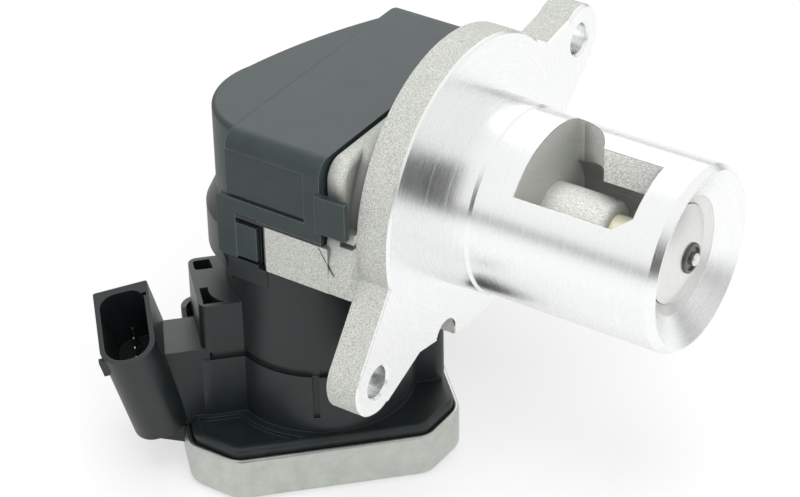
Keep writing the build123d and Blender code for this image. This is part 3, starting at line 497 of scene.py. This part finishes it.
def cast_and_machined():
    """Sand-cast aluminium whose flange face, nose, mouth and bolt holes are cut bright, with painted shade
    in its hollows and painted light inside the nose.
    """
    material, tree, shader = start_material("cast and turned aluminium", 1.0, 0.4)
    marks = placed(tree, turned, Pitch=0.00025)
    skin = placed(tree, grain, Scale=4200.0, Coarse=0.25)
    along = marks.outputs["Along"]
    outside = math_node(tree, "GREATER_THAN", marks.outputs["Radius"], turned_r * mm)
    ahead = math_node(tree, "GREATER_THAN", along, turned_start * mm)
    mouth = math_node(tree, "GREATER_THAN", along, mouth_start * mm)
    cut = math_node(tree, "MAXIMUM", math_node(tree, "MULTIPLY", outside, ahead), mouth)
    cut = math_node(tree, "MAXIMUM", cut, drilled_holes(tree))
    uncut = math_node(tree, "SUBTRACT", 1.0, cut)
    past_port = math_node(tree, "GREATER_THAN", along, port_wall * mm)
    inside = math_node(tree, "MULTIPLY", math_node(tree, "SUBTRACT", 1.0, outside), past_port)
    behind = math_node(tree, "LESS_THAN", along, flange_back * mm)

    sand = noise_node(tree, 3600.0, 2.0, 0.7)
    cast = two_colours(tree, sand, (0.28, 0.29, 0.265), (0.68, 0.695, 0.65), 0.34, 0.66)
    # Paler tone inside the nose: partly a blasted finish, partly painted light that brightens the far wall
    # seen through the window
    blasted_and_painted_light = two_colours(tree, sand, (0.46, 0.47, 0.44), (0.95, 0.955, 0.92), 0.36, 0.60)
    cast = mixed(tree, inside, cast, blasted_and_painted_light)
    cast = mixed(tree, skin.outputs["Speckle"], cast, (0.92, 0.93, 0.90))
    # Painted shade: near-black grainy colour laid into the hollows behind the flange and inside the nose,
    # where the occlusion is low
    cast = mixed(tree, recess_painted_shade(tree, sand, behind, past_port), cast, (0.07, 0.07, 0.065))
    bright = two_colours(tree, marks.outputs["Streak"], (0.89, 0.905, 0.90), (0.94, 0.95, 0.945))
    tree.links.new(mixed(tree, cut, cast, bright), shader.inputs["Base Color"])

    rough = math_node(tree, "MULTIPLY_ADD", marks.outputs["Streak"], 0.08, 0.23)
    rough = math_node(tree, "MULTIPLY_ADD", uncut, 0.42, rough)
    tree.links.new(rough, shader.inputs["Roughness"])
    tree.links.new(math_node(tree, "MULTIPLY_ADD", cut, 0.85, 0.15), shader.inputs["Metallic"])
    rings = math_node(tree, "MULTIPLY", marks.outputs["Height"], math_node(tree, "MULTIPLY", cut, 0.02))
    pits = math_node(tree, "MULTIPLY", skin.outputs["Height"], uncut)
    relief(tree, shader, math_node(tree, "ADD", rings, pits), 0.00016, 1.0, 0.00025)
    return material


def tinned_metal(name, colour, roughness):
    """Smooth tinned metal with a clouded tone."""
    material, tree, shader = start_material(name, 1.0, roughness)
    cloud = noise_node(tree, 900.0, 3.0, 0.6)
    dark = tuple(c * 0.7 for c in colour)
    tree.links.new(two_colours(tree, cloud, dark, colour), shader.inputs["Base Color"])
    rough = math_node(tree, "MULTIPLY_ADD", cloud, 0.2, roughness - 0.1)
    tree.links.new(rough, shader.inputs["Roughness"])
    return material


def terminal_tree(finish):
    """Geometry nodes: a row of flat blades with tapered tips, standing along Z from the origin."""
    tip_end = 0.30
    tree = bpy.data.node_groups.new("terminal row", "GeometryNodeTree")
    sizes = {"Count": ("NodeSocketInt", terminal_count),
             "Pitch": ("NodeSocketFloat", terminal_pitch * mm),
             "Width": ("NodeSocketFloat", 1.5 * mm),
             "Thickness": ("NodeSocketFloat", 0.8 * mm),
             "Length": ("NodeSocketFloat", 11.4 * mm),
             "Tip": ("NodeSocketFloat", 1.6 * mm)}
    keys = {}
    for label, (kind, value) in sizes.items():
        socket = tree.interface.new_socket(label, in_out="INPUT", socket_type=kind)
        socket.default_value = value
        keys[label] = socket.identifier
    tree.interface.new_socket("Geometry", in_out="OUTPUT", socket_type="NodeSocketGeometry")
    ins = tree.nodes.new("NodeGroupInput").outputs
    out = tree.nodes.new("NodeGroupOutput")

    def vector_of(x, y, z):
        """Vector socket from three numbers or sockets."""
        vector = tree.nodes.new("ShaderNodeCombineXYZ")
        for label, value in (("X", x), ("Y", y), ("Z", z)):
            if isinstance(value, (int, float)):
                vector.inputs[label].default_value = value
            else:
                tree.links.new(value, vector.inputs[label])
        return vector.outputs[0]

    def moved(geometry, shift, size):
        """Geometry scaled and then shifted."""
        node = tree.nodes.new("GeometryNodeTransform")
        tree.links.new(geometry, node.inputs["Geometry"])
        tree.links.new(shift, node.inputs["Translation"])
        tree.links.new(size, node.inputs["Scale"])
        return node.outputs["Geometry"]

    shank = tree.nodes.new("GeometryNodeMeshCube")
    half_way = math_node(tree, "MULTIPLY", ins["Length"], 0.5)
    blade = moved(shank.outputs["Mesh"], vector_of(0.0, 0.0, half_way),
                  vector_of(ins["Width"], ins["Thickness"], ins["Length"]))
    point = tree.nodes.new("GeometryNodeMeshCone")
    point.inputs["Vertices"].default_value = 4
    point.inputs["Radius Top"].default_value = tip_end
    point.inputs["Radius Bottom"].default_value = math.sqrt(0.5)
    point.inputs["Depth"].default_value = 1.0
    square = tree.nodes.new("GeometryNodeTransform")
    square.inputs["Rotation"].default_value = (0.0, 0.0, math.pi / 4)
    tree.links.new(point.outputs["Mesh"], square.inputs["Geometry"])
    tip = moved(square.outputs["Geometry"], vector_of(0.0, 0.0, ins["Length"]),
                vector_of(ins["Width"], ins["Thickness"], ins["Tip"]))
    both = tree.nodes.new("GeometryNodeJoinGeometry")
    tree.links.new(blade, both.inputs[0])
    tree.links.new(tip, both.inputs[0])

    row = tree.nodes.new("GeometryNodeMeshLine")
    tree.links.new(ins["Count"], row.inputs["Count"])
    gaps = math_node(tree, "SUBTRACT", ins["Count"], 1.0)
    start = math_node(tree, "MULTIPLY", math_node(tree, "MULTIPLY", gaps, ins["Pitch"]), -0.5)
    tree.links.new(vector_of(start, 0.0, 0.0), row.inputs["Start Location"])
    tree.links.new(vector_of(ins["Pitch"], 0.0, 0.0), row.inputs["Offset"])
    each = tree.nodes.new("GeometryNodeInstanceOnPoints")
    tree.links.new(row.outputs["Mesh"], each.inputs["Points"])
    tree.links.new(both.outputs[0], each.inputs["Instance"])
    real = tree.nodes.new("GeometryNodeRealizeInstances")
    tree.links.new(each.outputs[0], real.inputs[0])
    finished = tree.nodes.new("GeometryNodeSetMaterial")
    finished.inputs["Material"].default_value = finish
    tree.links.new(real.outputs[0], finished.inputs["Geometry"])
    tree.links.new(finished.outputs[0], out.inputs[0])
    return tree, keys


def cap_outline(inset):
    """Plan of the cap at an inset, on its own turned axes: a rectangle with cut and rounded corners."""
    half_p = cap_half_long - inset
    half_q = cap_half_wide - inset
    cut = cap_cut - inset * (2 - math.sqrt(2))
    radius = cap_corner_r - inset
    steps = 6
    corners = []
    for a, b in ((1, -1), (1, 1), (-1, 1), (-1, -1)):
        side = Vector((a * half_p, b * (half_q - cut)))
        end = Vector((a * (half_p - cut), b * half_q))
        corners += [end, side] if a * b < 0 else [side, end]
    points = []
    for i, corner in enumerate(corners):
        before = (corners[i - 1] - corner).normalized()
        after = (corners[(i + 1) % len(corners)] - corner).normalized()
        half_angle = math.acos(before.dot(after)) / 2
        centre = corner + (before + after).normalized() * (radius / math.sin(half_angle))
        start = corner + before * (radius / math.tan(half_angle)) - centre
        sweep = math.pi - 2 * half_angle
        for step in range(steps + 1):
            turn = Matrix.Rotation(sweep * step / steps, 2)
            points.append(centre + turn @ start + Vector(cap_centre))
    return points


def cap_profile(low, high):
    """Section of the cap's wall as (inset, height): round edge, fine bead, rolled lip, inner wall."""
    steps = 6
    bead = 0.12
    profile = []
    for step in range(steps + 1):
        turn = math.pi / 2 * step / steps
        profile.append((cap_edge_r * (1 - math.sin(turn)), low + cap_edge_r * (1 - math.cos(turn))))
    profile += [(0.0, high - 2.6), (bead, high - 2.2), (0.0, high - 1.6)]
    for step in range(steps + 1):
        turn = math.pi * step / steps
        profile.append((cap_lip_r * (1 - math.cos(turn)), high - cap_lip_r * (1 - math.sin(turn))))
    profile.append((2 * cap_lip_r, low + 1.5))
    return profile


def skinned(name, rings, material):
    """Closed piece through rings of corners, in millimetres, with a flat face at each end."""
    shape = bmesh.new()
    loops = [[shape.verts.new(Vector(corner) * mm) for corner in ring] for ring in rings]
    for lower, upper in zip(loops, loops[1:]):
        for i in range(len(lower)):
            j = (i + 1) % len(lower)
            shape.faces.new((lower[i], lower[j], upper[j], upper[i]))
    shape.faces.new(reversed(loops[0]))
    shape.faces.new(loops[-1])
    bmesh.ops.recalc_face_normals(shape, faces=shape.faces)
    mesh = bpy.data.meshes.new(name)
    shape.to_mesh(mesh)
    shape.free()
    mesh.materials.append(material)
    piece = bpy.data.objects.new(name, mesh)
    bpy.context.collection.objects.link(piece)
    return piece


def pressed_cap():
    """Tray with a rolled lip and a rounded bottom, in place of the square-edged one."""
    low, high = (corner[2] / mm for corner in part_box("base_cap"))
    rings = []
    for inset, z in cap_profile(low, high):
        rings.append([((p - q) / math.sqrt(2), (p + q) / math.sqrt(2), z) for p, q in cap_outline(inset)])
    tray = skinned("pressed_cap", rings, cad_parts["base_cap"].material_slots[0].material)
    for face in tray.data.polygons:
        face.use_smooth = len(face.vertices) == 4
    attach(tray, "frame")
    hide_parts("base_cap")


def parting_line():
    """Hairline ridge that the halves of the mould left on the cast front."""
    root = seam_face + seam_root
    crest = seam_face - seam_proud
    rings = [((x - half, root, z), (x, crest, z), (x + half, root, z)) for x, z, half in seam_path]
    dark = plain_metal("dark seam", (0.03, 0.03, 0.03), 0.7, metallic=0.0)
    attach(skinned("parting_line", rings, dark), "frame")


def connector_terminals():
    """Blades with tapered tips in the connector, in place of the plain ones."""
    pull = Vector(plug_pull).normalized()
    row = Vector(plug_row)
    row = (row - pull * row.dot(pull)).normalized()
    root = (Vector(plug_mouth) - pull * terminal_depth) * mm
    tree, keys = terminal_tree(tinned_metal("tinned brass", (0.62, 0.60, 0.52), 0.30))
    seed = bpy.data.objects.new("terminal seed", bpy.data.meshes.new("terminal seed"))
    bpy.context.collection.objects.link(seed)
    maker = seed.modifiers.new("terminal row", "NODES")
    maker.node_group = tree
    maker[keys["Count"]] = terminal_count
    maker[keys["Pitch"]] = terminal_pitch * mm
    graph = bpy.context.evaluated_depsgraph_get()
    mesh = bpy.data.meshes.new_from_object(seed.evaluated_get(graph), depsgraph=graph)
    bpy.data.objects.remove(seed)
    turn = Matrix((row, pull.cross(row), pull)).transposed().to_4x4()
    mesh.transform(Matrix.Translation(root) @ turn)
    blades = bpy.data.objects.new("connector_terminals", mesh)
    bpy.context.collection.objects.link(blades)
    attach(blades, "frame")
    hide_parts("connector_pins")


def dress_nodes():
    """Give each carried-over part its finish."""
    bronze = plain_metal("sintered bronze", (0.95, 0.93, 0.72), 0.38, 3000.0, 0.00002, metallic=0.25)
    rubber = moulded_plastic("black rubber", (0.015, 0.015, 0.015), 0.6, 2500.0, 0.00002)
    steel = turned_metal("ground steel", (0.80, 0.805, 0.78), 0.34)
    dark_steel = turned_metal("dark steel", (0.10, 0.10, 0.10), 0.35)
    # Disc washer's dark grey: partly darker steel, partly painted shade of the recess round the stem end
    washer_steel_painted_shade = turned_metal("steel painted dark as shade", (0.15, 0.155, 0.145), 0.35)
    nylon = moulded_plastic("natural nylon", (0.72, 0.68, 0.56), 0.4, 2500.0, 0.00001)
    black_nylon = moulded_plastic("black nylon", (0.02, 0.02, 0.02), 0.45, 2500.0, 0.00001)
    brass = plain_metal("cut brass", (0.75, 0.55, 0.25), 0.28)
    copper = plain_metal("turned copper", (0.70, 0.38, 0.22), 0.3)
    ferrite = plain_metal("ferrite", (0.08, 0.08, 0.09), 0.6)
    # The last number of the slate and the near-black plastic sets the strength of their painted edge
    # highlight
    slate = moulded_plastic("slate plastic", (0.019, 0.030, 0.030), 0.5, 2600.0, 0.00003, 0.5)
    near_black = moulded_plastic("near-black plastic", (0.008, 0.012, 0.012), 0.42, 2600.0, 0.00003, 0.15)
    finishes = {
        "valve_body": cast_and_machined(),
        "guide_bush": bronze,
        "rear_bush": bronze,
        "output_bush": bronze,
        "motor_bearings": bronze,
        "stem_seal": rubber,
        "cover_gasket": rubber,
        "seat_ring": steel,
        "valve_stem": steel,
        "valve_disc": steel,
        "disc_washer": washer_steel_painted_shade,
        "crosshead": black_nylon,
        "brush_plate": black_nylon,
        "follower_pin": steel,
        "output_shaft": steel,
        "idler_axle": steel,
        "rotor_shaft": steel,
        "return_spring": dark_steel,
        "output_gear": nylon,
        "idler_gear": nylon,
        "motor_pinion": brass,
        "commutator": copper,
        "rotor_core": plain_metal("laminations", (0.20, 0.20, 0.21), 0.4),
        "motor_can": plain_metal("plated can", (0.60, 0.60, 0.58), 0.3),
        "motor_magnets": ferrite,
        "sensor_magnet": ferrite,
        "gear_cover": slate,
        "motor_housing": near_black,
        "connector_pins": brass,
        # The cap's 0.8 is the strength of the painted highlight along its edges and rolled lip
        "base_cap": plain_metal("satin sheet", (0.52, 0.55, 0.51), 0.38, 2200.0, 0.00003, 0.8, 0.10),
        "sensor_board": moulded_plastic("board lacquer", (0.02, 0.10, 0.05), 0.3, 1200.0, 0.00001),
    }
    for name, material in finishes.items():
        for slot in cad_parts[name].material_slots:
            slot.material = material


view_camera()
studio()
dress_nodes()
pressed_cap()
parting_line()
connector_terminals()

bpy.context.scene.view_settings.view_transform = "Standard"
